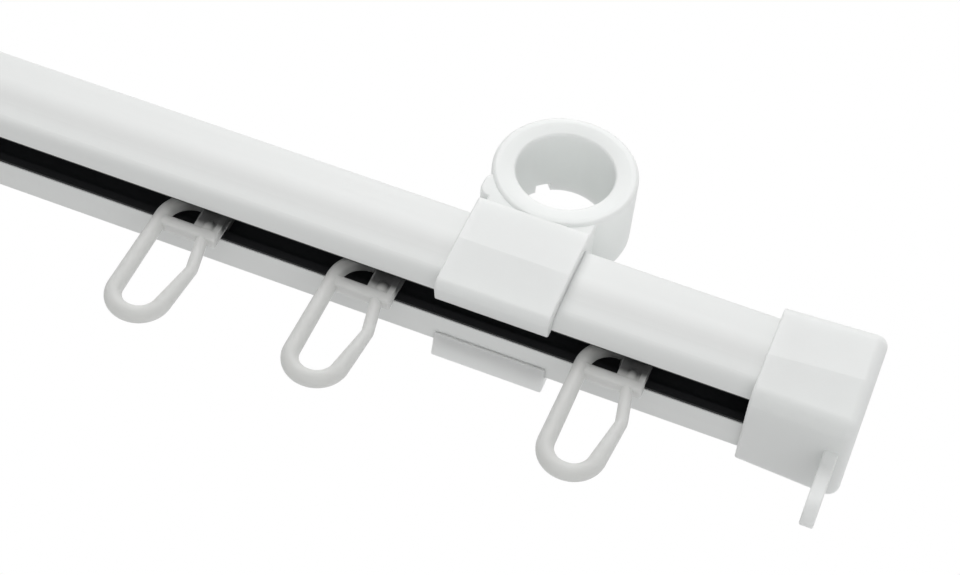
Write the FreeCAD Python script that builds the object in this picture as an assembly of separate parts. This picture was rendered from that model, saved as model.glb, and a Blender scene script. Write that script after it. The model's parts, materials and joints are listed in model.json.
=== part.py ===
import FreeCAD, Part
import math
import os

# Curtain track: a hollow white extrusion with a downward slot, a black slide liner, two end caps,
# two clip-on brackets with a collar, and a row of gliders that run in the slot.
# Millimetres. X runs along the track, +Y points back to the wall, +Z is up.
# The origin is on the right bracket's collar axis, at the collar's rear face.

Vector = FreeCAD.Vector
os.makedirs("parts", exist_ok=True)

# Driving dimensions

# Extruded track
track_length = 600.0
profile_height = 18.3
profile_depth = 19.6
profile_wall = 1.4
lip_thickness = 1.6
front_lip_width = 4.2
slot_width = 8.0
channel_width = 11.2
channel_height = 9.0
crease_below_top = 9.6
front_lean = 1.2
crease_radius = 40.0
top_edge_radius = 0.8
front_edge_radius = 3.4
rear_edge_radius = 0.4
inner_corner_radius = 0.4

# Slide liner
liner_thickness = 0.5
liner_clearance = 0.05
liner_edge_rise = 0.2

# Bracket: a saddle that clips over the track, a neck and a round collar
bracket_inset = 69.6
clip_clearance = 0.2
saddle_width = 23.6
saddle_front_wall = 2.6
saddle_top_wall = 1.8
saddle_rear_wall = 3.0
saddle_edge_radius = 0.5
saddle_side_radius = 0.4
jaw_thickness = 2.1
front_jaw_reach = 3.9
rear_jaw_reach = 2.9
front_jaw_drop = 1.3
front_jaw_radius = 1.8
rear_jaw_tip = 0.5
rear_jaw_heel = 1.7
rear_jaw_radius = 0.7
collar_bore = 20.2
collar_wall = 4.8
collar_length = 17.2
collar_height = 16.2
collar_offset = 1.4
collar_setback = 0.4
collar_front_radius = 0.9
collar_rear_radius = 1.4
collar_lead_in = 0.5
dish_width = 3.1
dish_depth = 0.4
neck_height = 10.0
neck_foot_gap = 0.6
neck_setback = 0.5
neck_edge_radius = 0.4
lug_overhang = 0.95
lug_radius = 2.3
lug_rise = 3.6
notch_width = 3.3
notch_depth = 2.0
notch_angle = 39.0

# End cap
cap_length = 20.9
cap_wall = 2.2
cap_flare = 0.7
cap_end_wall = 2.0
cap_clearance = 0.1
cap_corner_radius = 2.9
cap_front_drop = 1.4
cap_front_radius = 3.2
cap_end_radius = 2.4
cap_rim_radius = 0.5
cap_crease_drop = 1.9
cap_crease_rise = 1.3
tab_thickness = 2.75
tab_width = 7.0
tab_drop = 18.5
tab_roundness = 0.98
tab_from_end = 3.5
tab_hole = 3.4
tab_edge_radius = 0.35

# Glider
running_clearance = 0.3
head_height = 6.0
head_radius = 0.8
head_left_x = 1.0
arm_rise = 1.5
glider_left_reach = 5.2
glider_right_reach = 7.7
leg_radius = 1.6
bottom_rod_radius = 1.75
nub_rod_radius = 1.25
arm_radius = 6.0
loop_drop = 27.1
loop_width = 9.7
loop_lean = 1.9
loop_roundness = 0.98
kink_drop = 12.5
kink_radius = 3.0
nub_x = 4.6
nub_rise = 0.6
bar_drop = 2.3
bar_height = 2.6
bar_depth = 2.7
bar_edge_radius = 0.6
web_x = 1.8
web_thickness = 1.4
strip_width = 1.4

# Where the gliders stand: three beside the right bracket, the rest spread evenly to the left end
shown_glider_x = [23.1, -29.1, -66.8]
first_spare_x = -127.0
spare_gliders = 9
left_end_room = 36.0

# Runs and offsets shorter than this count as nothing
least_length = 0.001

# Places worked out from the driving dimensions

collar_radius = collar_bore / 2 + collar_wall
saddle_mid_x = -collar_offset
saddle_front_y = -collar_length - collar_setback
track_front_y = saddle_front_y + saddle_front_wall + clip_clearance
track_rear_y = track_front_y + profile_depth
saddle_rear_y = track_rear_y + clip_clearance + saddle_rear_wall
track_top_z = -collar_height
lip_z = track_top_z - profile_height
crease_z = track_top_z - crease_below_top
saddle_top_z = track_top_z + clip_clearance + saddle_top_wall
jaw_top_z = lip_z - clip_clearance
jaw_bottom_z = jaw_top_z - jaw_thickness
lip_top_z = lip_z + lip_thickness
channel_top_z = lip_top_z + channel_height
slot_front_y = track_front_y + front_lip_width
slot_rear_y = slot_front_y + slot_width
slot_y = (slot_front_y + slot_rear_y) / 2
channel_front_y = slot_y - channel_width / 2
channel_rear_y = slot_y + channel_width / 2
track_right_x = bracket_inset
track_left_x = track_right_x - track_length
bracket_span = track_length - 2 * bracket_inset
cap_open_x = track_right_x + cap_end_wall - cap_length
spare_end_x = track_left_x + left_end_room + cap_length
spare_pitch = (first_spare_x - spare_end_x) / (spare_gliders - 1)
glider_x = shown_glider_x + [first_spare_x - spare_pitch * i for i in range(spare_gliders)]


# Shared shapes

def rounded_corner(before, corner, after, radius):
    """Start, middle and end of the arc that rounds a corner, or the corner itself where it is sharp."""
    if radius == 0:
        return corner, corner, corner
    back = (before - corner).normalize()
    ahead = (after - corner).normalize()
    half_angle = back.getAngle(ahead) / 2
    inward = (back + ahead).normalize()
    reach = radius / math.tan(half_angle)
    middle = corner + inward * (radius / math.sin(half_angle) - radius)
    return corner + back * reach, middle, corner + ahead * reach


def rounded_wire(points, radii, closed=True):
    """Straight runs between the points, with a tangent arc at each corner that has a radius."""
    count = len(points)
    corners = []
    for i in range(count):
        is_end = not closed and i in (0, count - 1)
        radius = 0 if is_end else radii[i]
        corners.append(rounded_corner(points[i - 1], points[i], points[(i + 1) % count], radius))
    edges = []
    for i in range(count):
        start, middle, end = corners[i]
        if start.distanceToPoint(end) > least_length:
            edges.append(Part.Arc(start, middle, end).toShape())
        following = corners[(i + 1) % count][0]
        is_run = closed or i < count - 1
        if is_run and end.distanceToPoint(following) > least_length:
            edges.append(Part.LineSegment(end, following).toShape())
    return Part.Wire(edges)


def section_wire(corners, x):
    """A closed cross-section at X = x from corners of (y, z, radius)."""
    points = [Vector(x, y, z) for y, z, radius in corners]
    return rounded_wire(points, [radius for y, z, radius in corners])


def section_prism(corners, x, length):
    """A cross-section carried along X."""
    return Part.Face(section_wire(corners, x)).extrude(Vector(length, 0, 0))


def side_prism(corners, y, depth):
    """A side outline of (x, z, radius) corners carried along Y."""
    points = [Vector(x, y, z) for x, z, radius in corners]
    wire = rounded_wire(points, [radius for x, z, radius in corners])
    return Part.Face(wire).extrude(Vector(0, depth, 0))


def soften_ends(prism, radius):
    """Rounds the edges of both end faces of a shape that was carried along X."""
    edges = [edge for edge in prism.Edges if edge.BoundBox.XLength < least_length]
    return prism.makeFillet(radius, edges)


def block(low, high):
    """A plain box between two corners."""
    size = [b - a for a, b in zip(low, high)]
    return Part.makeBox(*size, Vector(*low))


def rectangle(low_y, low_z, high_y, high_z, radius=0):
    """The corners of a rectangular cross-section."""
    corners = [(low_y, low_z), (high_y, low_z), (high_y, high_z), (low_y, high_z)]
    return [(y, z, radius) for y, z in corners]


def track_outline(grow):
    """The track's outer cross-section, grown by a distance on every side."""
    front = track_front_y - grow
    rear = track_rear_y + grow
    top = track_top_z + grow
    bottom = lip_z - grow
    return [
        (front, top, top_edge_radius + grow),
        (front, crease_z, crease_radius),
        (front + front_lean, bottom, front_edge_radius + grow),
        (rear, bottom, rear_edge_radius + grow),
        (rear, top, top_edge_radius + grow),
    ]


# Track profile

def make_track():
    """The extrusion: a running channel with a slot below, a stiffening chamber above and one behind."""
    upper_floor_z = channel_top_z + profile_wall
    upper_top_z = track_top_z - profile_wall
    rear_front_y = channel_rear_y + profile_wall
    rear_rear_y = track_rear_y - profile_wall
    track = section_prism(track_outline(0), track_left_x, track_length)
    hollows = [
        rectangle(channel_front_y, lip_top_z, channel_rear_y, channel_top_z),
        rectangle(slot_front_y, lip_z - lip_thickness, slot_rear_y, lip_top_z + lip_thickness),
        rectangle(channel_front_y, upper_floor_z, channel_rear_y, upper_top_z, inner_corner_radius),
        rectangle(rear_front_y, lip_top_z, rear_rear_y, upper_top_z, inner_corner_radius),
    ]
    for hollow in hollows:
        track = track.cut(section_prism(hollow, track_left_x, track_length))
    return track


# Slide liner

def make_liner():
    """A thin black lining on the channel's walls and over the inner edges of both lips."""
    front = channel_front_y + liner_clearance
    rear = channel_rear_y - liner_clearance
    top = channel_top_z - liner_clearance
    wall = liner_thickness
    gap_front = slot_front_y + liner_clearance + wall
    gap_rear = slot_rear_y - liner_clearance - wall
    edge_z = lip_z + liner_edge_rise
    floor_z = lip_top_z + wall
    tube = rectangle(front, lip_top_z, rear, top)
    inside = rectangle(front + wall, floor_z, rear - wall, top - wall)
    front_edge = rectangle(gap_front - wall, edge_z, gap_front, floor_z)
    rear_edge = rectangle(gap_rear, edge_z, gap_rear + wall, floor_z)
    gap = rectangle(gap_front, edge_z - wall, gap_rear, floor_z + wall)
    liner = section_prism(tube, track_left_x, track_length)
    liner = liner.cut(section_prism(inside, track_left_x, track_length))
    for edge in (front_edge, rear_edge):
        liner = liner.fuse(section_prism(edge, track_left_x, track_length))
    return liner.cut(section_prism(gap, track_left_x, track_length)).removeSplitter()


# Bracket

def make_saddle():
    """The clip: a folded wall over the track with a jaw under each lip."""
    front_tip_y = track_front_y + front_jaw_reach
    rear_tip_y = track_rear_y - rear_jaw_reach
    outline = [
        (saddle_front_y, saddle_top_z, saddle_edge_radius),
        (saddle_front_y, crease_z, 0),
        (saddle_front_y + front_lean, jaw_bottom_z - front_jaw_drop, front_jaw_radius),
        (front_tip_y, jaw_bottom_z, 0),
        (rear_tip_y, jaw_top_z - rear_jaw_tip, 0),
        (saddle_rear_y, jaw_top_z - rear_jaw_heel, rear_jaw_radius),
        (saddle_rear_y, saddle_top_z, saddle_edge_radius),
    ]
    left_x = saddle_mid_x - saddle_width / 2
    mouth = rectangle(front_tip_y, jaw_bottom_z - jaw_thickness, rear_tip_y, lip_z + lip_thickness)
    saddle = soften_ends(section_prism(outline, left_x, saddle_width), saddle_side_radius)
    saddle = saddle.cut(section_prism(track_outline(clip_clearance), left_x, saddle_width))
    return saddle.cut(section_prism(mouth, left_x, saddle_width))


def make_neck():
    """The block from saddle to collar, a little behind the collar's front, with a round lug at its left."""
    left = saddle_mid_x - saddle_width / 2 - lug_overhang
    right = saddle_mid_x + saddle_width / 2
    foot = track_top_z + neck_foot_gap
    top = track_top_z + neck_height
    lug = track_top_z + lug_rise
    front = neck_setback - collar_length
    outline = [
        (left, top, lug_radius),
        (left, lug, lug_radius),
        (left + lug_radius, lug, 0),
        (left + lug_radius, foot, 0),
        (right, foot, 0),
        (right, top, 0),
    ]
    neck = side_prism(outline, front, -front)
    front_edges = [edge for edge in neck.Edges if edge.BoundBox.YMax < front + least_length]
    return neck.makeFillet(neck_edge_radius, front_edges)


def make_collar():
    """The round collar, turned about its own axis, with a dished front and a notch in the rear rim."""
    bore_radius = collar_bore / 2
    backwards = Vector(0, 1, 0)
    wall = section_wire([
        (dish_depth - collar_length, bore_radius, collar_lead_in),
        (-collar_length, bore_radius + dish_width, 0),
        (-collar_length, collar_radius, collar_front_radius),
        (0, collar_radius, collar_rear_radius),
        (0, bore_radius, 0),
    ], 0)
    collar = Part.Face(wall).revolve(Vector(0, 0, 0), backwards, 360)
    half_notch = notch_width / 2
    notch = block((-half_notch, -notch_depth, 0), (half_notch, notch_depth, collar_radius + collar_wall))
    notch.rotate(Vector(0, 0, 0), backwards, -notch_angle)
    return collar.cut(notch)


def make_bracket(x):
    """One moulding: saddle, neck and collar, with the collar's axis at X = x."""
    inside_radius = collar_bore / 2 + dish_width
    inside = Part.makeCylinder(inside_radius, collar_length, Vector(0, -collar_length, 0), Vector(0, 1, 0))
    bracket = make_saddle().fuse(make_neck().cut(inside)).fuse(make_collar()).removeSplitter()
    bracket.translate(Vector(x, 0, 0))
    return bracket


# End cap

def make_tab():
    """A flat tongue with a round end and an eye, hanging from the middle of the cap's underside."""
    low_x = track_right_x + cap_end_wall - tab_from_end - tab_thickness / 2
    mid_y = (track_front_y + track_rear_y) / 2
    half = tab_width / 2
    root_z = lip_z - cap_wall / 2
    bottom_z = lip_z - tab_drop
    corner = half * tab_roundness
    eye_start = Vector(low_x, mid_y, bottom_z + half)
    tongue = section_prism([
        (mid_y - half, root_z, 0),
        (mid_y + half, root_z, 0),
        (mid_y + half, bottom_z, corner),
        (mid_y - half, bottom_z, corner),
    ], low_x, tab_thickness)
    eye = Part.makeCylinder(tab_hole / 2, tab_thickness, eye_start, Vector(1, 0, 0))
    return soften_ends(tongue, tab_edge_radius).cut(eye)


def cap_outline(grow, crease_drop):
    """The cap's outer cross-section: the track's, grown, with its own crease and a lower front corner."""
    front = track_front_y - grow
    rear = track_rear_y + grow
    top = track_top_z + grow
    bottom = lip_z - grow
    return [
        (front, top, cap_corner_radius),
        (front, crease_z - crease_drop, 0),
        (front + front_lean, bottom - cap_front_drop, cap_front_radius),
        (rear, bottom, cap_corner_radius),
        (rear, top, cap_corner_radius),
    ]


def make_right_cap():
    """A flared cap over the track's right end, with a crease that rises towards the closed end."""
    end_x = cap_open_x + cap_length
    open_wire = section_wire(cap_outline(cap_wall, cap_crease_drop), cap_open_x)
    end_wire = section_wire(cap_outline(cap_wall + cap_flare, cap_crease_drop - cap_crease_rise), end_x)
    shell = Part.makeLoft([open_wire, end_wire], True, True)
    rim_edges = [edge for edge in shell.Edges if edge.BoundBox.XMax < cap_open_x + cap_rim_radius / 2]
    shell = shell.makeFillet(cap_rim_radius, rim_edges)
    end_edges = [edge for edge in shell.Edges if edge.BoundBox.XMin > end_x - cap_end_radius / 2]
    shell = shell.makeFillet(cap_end_radius, end_edges)
    socket = section_prism(track_outline(cap_clearance), cap_open_x, cap_length - cap_end_wall)
    return shell.fuse(make_tab()).cut(socket).removeSplitter()


def make_left_cap():
    """The right cap's mirror image, over the left end."""
    middle = Vector((track_left_x + track_right_x) / 2, 0, 0)
    return make_right_cap().mirror(middle, Vector(1, 0, 0))


# Glider

def rod_piece(edge, start_radius, end_radius):
    """A round rod along one straight run, which may taper, or round one arc."""
    start = edge.valueAt(edge.FirstParameter)
    direction = edge.tangentAt(edge.FirstParameter)
    if edge.Curve.TypeId == "Part::GeomCircle":
        disc = Part.Face(Part.Wire(Part.makeCircle(start_radius, start, direction)))
        turn = math.degrees(edge.LastParameter - edge.FirstParameter)
        return disc.revolve(edge.Curve.Center, edge.Curve.Axis, turn)
    if start_radius == end_radius:
        return Part.makeCylinder(start_radius, edge.Length, start, direction)
    return Part.makeCone(start_radius, end_radius, edge.Length, start, direction)


def make_loop():
    """The bent rod: out of the head, down the left leg, round the bottom and up past the kink to the nub."""
    arm_z = lip_top_z + liner_thickness + running_clearance + arm_rise
    left = -glider_left_reach
    bottom_z = lip_z - loop_drop
    kink_z = lip_z - kink_drop
    right = left + loop_width
    lean_angle = math.atan2(loop_lean, kink_z - bottom_z)
    half_turn = (math.pi / 2 + lean_angle) / 2
    bottom_radius = loop_roundness * loop_width / (1 + 1 / math.tan(half_turn))
    bar_mid_z = lip_z - bar_drop - bar_height / 2
    nub_z = lip_z + nub_rise - nub_rod_radius
    corners = [
        (left + arm_radius + leg_radius, arm_z, 0, leg_radius),
        (left, arm_z, arm_radius, leg_radius),
        (left, bottom_z, bottom_radius, bottom_rod_radius),
        (right, bottom_z, bottom_radius, bottom_rod_radius),
        (right + loop_lean, kink_z, kink_radius, nub_rod_radius),
        (nub_x, bar_mid_z, kink_radius, nub_rod_radius),
        (nub_x, nub_z, 0, nub_rod_radius),
    ]
    points = [Vector(x, slot_y, z) for x, z, bend, rod in corners]
    path = rounded_wire(points, [bend for x, z, bend, rod in corners], closed=False)
    rods = [rod for x, z, bend, rod in corners]
    pieces = [Part.makeSphere(nub_rod_radius, points[-1], Vector(0, 0, 1), 0, 90, 360)]
    for i, edge in enumerate(path.OrderedEdges):
        pieces.append(rod_piece(edge, rods[(i + 1) // 2], rods[i // 2 + 1]))
    return pieces


def make_glider(x):
    """One moulding: a head that rides on the lips, a web through the slot, a bar and a loop below it."""
    head_low_z = lip_top_z + liner_thickness + running_clearance
    head_top_z = head_low_z + head_height
    half_head = channel_width / 2 - liner_clearance - liner_thickness - running_clearance
    right = glider_right_reach
    bar_top_z = lip_z - bar_drop
    bar_low_z = bar_top_z - bar_height
    half_bar = bar_depth / 2
    half_web = web_thickness / 2
    strip_left = right - strip_width
    strip_right = right - bar_edge_radius / 2
    head_right = (strip_left + strip_right) / 2
    head = block((head_left_x, slot_y - half_head, head_low_z), (head_right, slot_y + half_head, head_top_z))
    head = head.makeFillet(head_radius, head.Edges)
    bar = block((-glider_left_reach, slot_y - half_bar, bar_low_z), (right, slot_y + half_bar, bar_top_z))
    bar = bar.makeFillet(bar_edge_radius, bar.Edges)
    web = block((web_x, slot_y - half_web, bar_low_z + bar_height / 2),
                (strip_left, slot_y + half_web, head_low_z + arm_rise))
    strip = block((strip_left, slot_y - half_bar, bar_low_z + bar_height / 2),
                  (strip_right, slot_y + half_bar, head_low_z + arm_rise))
    glider = head.fuse([bar, web, strip] + make_loop()).removeSplitter()
    glider.translate(Vector(x, 0, 0))
    return glider


# The assembly

pieces = {
    "track_profile": make_track(),
    "slide_liner": make_liner(),
    "end_cap_right": make_right_cap(),
    "end_cap_left": make_left_cap(),
    "bracket_right": make_bracket(0),
    "bracket_left": make_bracket(-bracket_span),
}
for number, x in enumerate(glider_x, start=1):
    pieces[f"glider_{number:02d}"] = make_glider(x)

for node, shape in pieces.items():
    shape.exportStep(f"parts/{node}.step")
    box = shape.BoundBox
    print(node, "solids", len(shape.Solids), "valid", shape.isValid(), "volume", round(shape.Volume, 1),
          "x", round(box.XMin, 2), round(box.XMax, 2), "y", round(box.YMin, 2), round(box.YMax, 2),
          "z", round(box.ZMin, 2), round(box.ZMax, 2))
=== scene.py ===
import bpy
import json
import math
from mathutils import Matrix, Vector


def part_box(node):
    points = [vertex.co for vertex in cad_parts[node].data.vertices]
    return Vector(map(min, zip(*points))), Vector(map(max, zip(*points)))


# Curtain track seen from below and in front: the finish of every piece, the light and the camera.
# Metres, in the same frame as the solids: X along the track, +Y back to the wall, +Z up.

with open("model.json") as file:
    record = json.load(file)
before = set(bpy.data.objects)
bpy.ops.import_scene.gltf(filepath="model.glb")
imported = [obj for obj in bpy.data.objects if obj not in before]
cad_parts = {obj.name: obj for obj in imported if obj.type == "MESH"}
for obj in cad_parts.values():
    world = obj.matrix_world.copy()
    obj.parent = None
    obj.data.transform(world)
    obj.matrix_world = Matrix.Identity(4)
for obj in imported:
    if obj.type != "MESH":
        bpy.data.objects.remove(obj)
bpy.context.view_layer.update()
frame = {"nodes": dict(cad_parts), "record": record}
track_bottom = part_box("track_profile")[0].z

# Camera, as the photograph was taken; the scale in pixels holds at the aim point
image_width = 960
image_height = 575
sensor_width = 36.0
focal_px = 2141.0
camera_azimuth = math.radians(13.51)
camera_elevation = math.radians(-37.49)
camera_roll = math.radians(27.56)
aim_point = Vector((0.0, -0.017, -0.016))
aim_px = Vector((537.9, 225.3))
px_per_metre = 5091.0
nearest_seen = 0.01

# Light: directions point from the track to the light
white = (1.0, 1.0, 1.0, 1.0)
front_strength = 0.36
back_strength = 0.95
back_direction = Vector((0.55, 0.83, 0.0))
front_edge = -0.10
back_edge = 0.45
key_direction = Vector((-0.20, -0.65, 0.73))
key_distance = 2.5
key_size = 1.4
key_watts = 34.0
fill_direction = Vector((0.25, -0.60, -0.76))
fill_distance = 1.4
fill_size = 1.3
fill_watts = 4.4
floor_height = -5.0
floor_reach = 80.0
floor_shown = (0.95, 0.95, 0.95, 1.0)
floor_bounce = (0.85, 0.85, 0.85, 1.0)

# Noise: the part of its range that is used, and how fine it gets
noise_low = 0.3
noise_high = 0.7
drift_detail = 2.0
grain_detail = 3.0

# Each material has two close colours that drift into each other, and a grain that bumps the surface.
# Scales are noise cells per metre along X, Y and Z.

# Extruded track, with a band of painted shade at a rise above the track's underside
track_colour = (0.815, 0.828, 0.819, 1.0)
track_shade = (0.800, 0.813, 0.805, 1.0)
track_drift_scale = (6.0, 260.0, 260.0)
track_grain_scale = (3.0, 1800.0, 1800.0)
track_grain_depth = 0.000006
track_roughness = (0.38, 0.46)
# Painted shade: the darker colour of the band, standing in for shade on the track's face
painted_band_shade_colour = (0.745, 0.754, 0.746, 1.0)
band_low_rise = 0.0040
band_middle_rise = 0.0073
band_high_rise = 0.0120

# Moulded caps and brackets
moulded_colour = (0.835, 0.852, 0.842, 1.0)
moulded_shade = (0.815, 0.832, 0.822, 1.0)
moulded_drift_scale = (60.0, 60.0, 60.0)
moulded_grain_scale = (2600.0, 2600.0, 2600.0)
moulded_grain_depth = 0.000008
moulded_roughness = (0.40, 0.48)
moulded_translucency = 0.75
moulded_light_depth = 0.004

# Gliders; the painted shade inside the slot grows between two drops below the track's underside and two
# shares of the length
glider_colour = (0.600, 0.604, 0.589, 1.0)
glider_shade = (0.578, 0.582, 0.568, 1.0)
glider_drift_scale = (140.0, 140.0, 90.0)
glider_grain_scale = (2200.0, 2200.0, 2200.0)
glider_grain_depth = 0.000006
glider_roughness = (0.54, 0.62)
glider_translucency = 1.0
glider_light_depth = 0.008
# Painted shade: the dark colour laid on each glider inside the slot, standing in for the shadow there
painted_slot_shade_colour = (0.060, 0.061, 0.060, 1.0)
slot_shade_start_drop = 0.0023
slot_shade_full_drop = 0.0003
slot_shade_start_share = 0.05
slot_shade_full_share = 0.45

# Slot lining
liner_colour = (0.012, 0.013, 0.014, 1.0)
liner_shade = (0.016, 0.017, 0.019, 1.0)
liner_drift_scale = (8.0, 500.0, 500.0)
liner_grain_scale = (4.0, 2400.0, 2400.0)
liner_grain_depth = 0.000008
liner_roughness = (0.50, 0.62)


# Camera

def add_camera():
    """A camera that puts the aim point on its pixel, at the photograph's angle, roll and lens."""
    toward = Vector((
        math.sin(camera_azimuth) * math.cos(camera_elevation),
        -math.cos(camera_azimuth) * math.cos(camera_elevation),
        math.sin(camera_elevation),
    ))
    level = Vector((math.cos(camera_azimuth), math.sin(camera_azimuth), 0.0))
    upright = toward.cross(level)
    right = math.cos(camera_roll) * level + math.sin(camera_roll) * upright
    up = math.cos(camera_roll) * upright - math.sin(camera_roll) * level
    right_of_centre = (aim_px.x - image_width / 2) / px_per_metre
    above_centre = (image_height / 2 - aim_px.y) / px_per_metre
    distance = focal_px / px_per_metre
    eye = aim_point + toward * distance - right * right_of_centre - up * above_centre
    data = bpy.data.cameras.new("camera")
    data.sensor_fit = "HORIZONTAL"
    data.sensor_width = sensor_width
    data.lens = focal_px / image_width * sensor_width
    data.clip_start = nearest_seen
    camera = bpy.data.objects.new("camera", data)
    turn = Matrix((right, up, toward)).transposed()
    camera.matrix_world = Matrix.Translation(eye) @ turn.to_4x4()
    bpy.context.scene.collection.objects.link(camera)
    bpy.context.scene.camera = camera


# Node building

def combined(tree, operation, first, second):
    """Two values joined by a plain operation, such as MULTIPLY or MAXIMUM."""
    maths = tree.nodes.new("ShaderNodeMath")
    maths.operation = operation
    tree.links.new(first, maths.inputs[0])
    tree.links.new(second, maths.inputs[1])
    return maths.outputs[0]


def ramp(tree, value, start, end, low=0.0, high=1.0, interpolation="SMOOTHSTEP"):
    """Carries a value from the range of start to end into the range of low to high."""
    spread = tree.nodes.new("ShaderNodeMapRange")
    spread.interpolation_type = interpolation
    spread.inputs["From Min"].default_value = start
    spread.inputs["From Max"].default_value = end
    spread.inputs["To Min"].default_value = low
    spread.inputs["To Max"].default_value = high
    tree.links.new(value, spread.inputs["Value"])
    return spread.outputs["Result"]


def from_noise(tree, noise, low, high):
    """Carries a noise value into a range of its own."""
    return ramp(tree, noise, noise_low, noise_high, low, high, "LINEAR")


def coordinate(tree, space, axis):
    """One coordinate of a point: its place at rest for Object, a share of the piece's box for Generated."""
    place = tree.nodes.new("ShaderNodeTexCoord")
    parts = tree.nodes.new("ShaderNodeSeparateXYZ")
    tree.links.new(place.outputs[space], parts.inputs["Vector"])
    return parts.outputs[axis]


def stretched_noise(tree, scale, detail):
    """Noise in the piece's own coordinates, with its own scale along each axis."""
    place = tree.nodes.new("ShaderNodeTexCoord")
    stretch = tree.nodes.new("ShaderNodeMapping")
    stretch.inputs["Scale"].default_value = scale
    noise = tree.nodes.new("ShaderNodeTexNoise")
    noise.inputs["Scale"].default_value = 1.0
    noise.inputs["Detail"].default_value = detail
    tree.links.new(place.outputs["Object"], stretch.inputs["Vector"])
    tree.links.new(stretch.outputs["Vector"], noise.inputs["Vector"])
    return noise.outputs["Fac"]


def shown_or_lighting(tree, shown, lighting):
    """One shader where the camera, a reflection or a see-through surface looks, and the other elsewhere."""
    path = tree.nodes.new("ShaderNodeLightPath")
    by_eye = combined(tree, "MAXIMUM", path.outputs["Is Camera Ray"], path.outputs["Is Glossy Ray"])
    looks = combined(tree, "MAXIMUM", by_eye, path.outputs["Is Transmission Ray"])
    mix = tree.nodes.new("ShaderNodeMixShader")
    tree.links.new(looks, mix.inputs["Fac"])
    tree.links.new(lighting.outputs[0], mix.inputs[1])
    tree.links.new(shown.outputs[0], mix.inputs[2])
    return mix.outputs[0]


# Light and floor

def surround_strength(tree):
    """The surround's light: plain in front, brighter behind the track and at its right."""
    place = tree.nodes.new("ShaderNodeTexCoord")
    along = tree.nodes.new("ShaderNodeVectorMath")
    along.operation = "DOT_PRODUCT"
    along.inputs[1].default_value = back_direction.normalized()
    tree.links.new(place.outputs["Generated"], along.inputs[0])
    return ramp(tree, along.outputs["Value"], front_edge, back_edge, front_strength, back_strength)


def add_world():
    """A white surround that shows as plain white and lights the object at a plain level."""
    world = bpy.data.worlds.new("surround")
    world.use_nodes = True
    tree = world.node_tree
    tree.nodes.clear()
    lighting = tree.nodes.new("ShaderNodeBackground")
    lighting.inputs["Color"].default_value = white
    tree.links.new(surround_strength(tree), lighting.inputs["Strength"])
    shown = tree.nodes.new("ShaderNodeBackground")
    shown.inputs["Color"].default_value = white
    output = tree.nodes.new("ShaderNodeOutputWorld")
    tree.links.new(shown_or_lighting(tree, shown, lighting), output.inputs["Surface"])
    bpy.context.scene.world = world


def add_lamp(name, direction, distance, size, watts):
    """A square soft lamp that faces the track's right bracket and doesn't show itself."""
    data = bpy.data.lights.new(name, "AREA")
    data.shape = "SQUARE"
    data.size = size
    data.energy = watts
    lamp = bpy.data.objects.new(name, data)
    away = direction.normalized()
    lamp.location = aim_point + away * distance
    lamp.rotation_euler = away.to_track_quat("Z", "Y").to_euler()
    lamp.visible_camera = False
    bpy.context.scene.collection.objects.link(lamp)


def floor_material():
    """Pale paint that looks a little lighter than the light it throws back."""
    material = bpy.data.materials.new("floor_paint")
    material.use_nodes = True
    tree = material.node_tree
    tree.nodes.clear()
    lighting = tree.nodes.new("ShaderNodeBsdfDiffuse")
    lighting.inputs["Color"].default_value = floor_bounce
    shown = tree.nodes.new("ShaderNodeBsdfDiffuse")
    shown.inputs["Color"].default_value = floor_shown
    output = tree.nodes.new("ShaderNodeOutputMaterial")
    tree.links.new(shown_or_lighting(tree, shown, lighting), output.inputs["Surface"])
    return material


def add_floor():
    """A plain pale floor far below the track, so that the track can be seen from below too."""
    mesh = bpy.data.meshes.new("floor")
    sides = ((-1, -1), (1, -1), (1, 1), (-1, 1))
    corners = [(x * floor_reach, y * floor_reach, floor_height) for x, y in sides]
    mesh.from_pydata(corners, [], [(0, 1, 2, 3)])
    mesh.materials.append(floor_material())
    floor = bpy.data.objects.new("floor", mesh)
    bpy.context.scene.collection.objects.link(floor)


# Materials

def plastic(name, colour, shade, drift_scale, grain_scale, grain_depth, roughness):
    """A plastic with slow colour drift, a grain of its own and a gloss that varies with the grain."""
    material = bpy.data.materials.new(name)
    material.use_nodes = True
    tree = material.node_tree
    shader = tree.nodes["Principled BSDF"]
    drift = stretched_noise(tree, drift_scale, drift_detail)
    grain = stretched_noise(tree, grain_scale, grain_detail)
    blend = tree.nodes.new("ShaderNodeMix")
    blend.data_type = "RGBA"
    blend.inputs["A"].default_value = colour
    blend.inputs["B"].default_value = shade
    tree.links.new(from_noise(tree, drift, 0.0, 1.0), blend.inputs["Factor"])
    tree.links.new(blend.outputs["Result"], shader.inputs["Base Color"])
    smoothest, roughest = roughness
    tree.links.new(from_noise(tree, grain, smoothest, roughest), shader.inputs["Roughness"])
    bump = tree.nodes.new("ShaderNodeBump")
    bump.inputs["Strength"].default_value = 1.0
    bump.inputs["Distance"].default_value = grain_depth
    tree.links.new(grain, bump.inputs["Height"])
    tree.links.new(bump.outputs["Normal"], shader.inputs["Normal"])
    return material


def let_light_in(material, share, depth):
    """Makes a plastic translucent, evenly for all colours."""
    shader = material.node_tree.nodes["Principled BSDF"]
    shader.inputs["Subsurface Weight"].default_value = share
    shader.inputs["Subsurface Radius"].default_value = (1.0, 1.0, 1.0)
    shader.inputs["Subsurface Scale"].default_value = depth


def lay_over(material, colour, share):
    """Mixes a second colour into the material's own, by a share that varies over the surface."""
    tree = material.node_tree
    shader = tree.nodes["Principled BSDF"]
    blend = tree.nodes.new("ShaderNodeMix")
    blend.data_type = "RGBA"
    tree.links.new(shader.inputs["Base Color"].links[0].from_socket, blend.inputs["A"])
    blend.inputs["B"].default_value = colour
    tree.links.new(share, blend.inputs["Factor"])
    tree.links.new(blend.outputs["Result"], shader.inputs["Base Color"])


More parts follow.
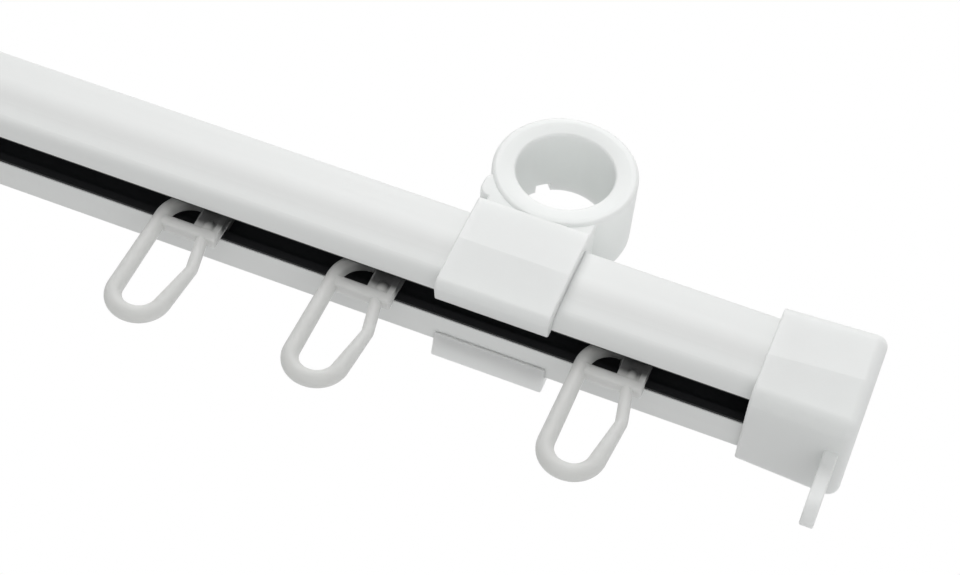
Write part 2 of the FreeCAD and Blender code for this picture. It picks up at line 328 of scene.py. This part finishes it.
def paint_track_shade_band(material):
    """A faint band of painted shade along the track, deepest at mid-height and gone above and below."""
    tree = material.node_tree
    height = coordinate(tree, "Object", "Z")
    middle = track_bottom + band_middle_rise
    from_below = ramp(tree, height, track_bottom + band_low_rise, middle)
    from_above = ramp(tree, height, track_bottom + band_high_rise, middle)
    # Painted shade: a darker band along the track's face
    lay_over(material, painted_band_shade_colour, combined(tree, "MULTIPLY", from_below, from_above))


def paint_slot_shade(material):
    """Paints shade into a glider's colour: darker inside the slot, and most towards its head."""
    tree = material.node_tree
    height = coordinate(tree, "Object", "Z")
    along = coordinate(tree, "Generated", "X")
    inside = ramp(tree, height, track_bottom - slot_shade_start_drop, track_bottom - slot_shade_full_drop)
    at_head = ramp(tree, along, slot_shade_start_share, slot_shade_full_share)
    # Painted shade: the glider's colour goes dark inside the slot and towards its head
    lay_over(material, painted_slot_shade_colour, combined(tree, "MULTIPLY", inside, at_head))


def track_material():
    """Extruded white plastic, satin, with faint die lines and one soft band of painted shade along its
    length.
    """
    material = plastic("extruded_white", track_colour, track_shade, track_drift_scale,
                       track_grain_scale, track_grain_depth, track_roughness)
    paint_track_shade_band(material)
    return material


def moulded_material():
    """Moulded white plastic with a fine even grain, a little translucent."""
    material = plastic("moulded_white", moulded_colour, moulded_shade, moulded_drift_scale,
                       moulded_grain_scale, moulded_grain_depth, moulded_roughness)
    let_light_in(material, moulded_translucency, moulded_light_depth)
    return material


def glider_material():
    """Milky nylon that light goes well into, with shade painted dark inside the slot."""
    material = plastic("milky_nylon", glider_colour, glider_shade, glider_drift_scale,
                       glider_grain_scale, glider_grain_depth, glider_roughness)
    let_light_in(material, glider_translucency, glider_light_depth)
    # Painted shade inside the slot
    paint_slot_shade(material)
    return material


def liner_material():
    """Matt black lining with fine lines along the slot."""
    return plastic("lining_black", liner_colour, liner_shade, liner_drift_scale,
                   liner_grain_scale, liner_grain_depth, liner_roughness)


def dress(materials):
    """Gives every solid the material of its slot in the record."""
    slots = {part["node"]: part["material_slot"] for part in frame["record"]["subparts"]}
    for name, node in frame["nodes"].items():
        node.data.materials.clear()
        node.data.materials.append(materials[slots[name]])


# The scene

bpy.context.scene.view_settings.view_transform = "Standard"
add_camera()
add_world()
add_lamp("key_light", key_direction, key_distance, key_size, key_watts)
add_lamp("fill_light", fill_direction, fill_distance, fill_size, fill_watts)
add_floor()
dress({
    "track_white": track_material(),
    "moulded_white": moulded_material(),
    "glider_white": glider_material(),
    "liner_black": liner_material(),
})
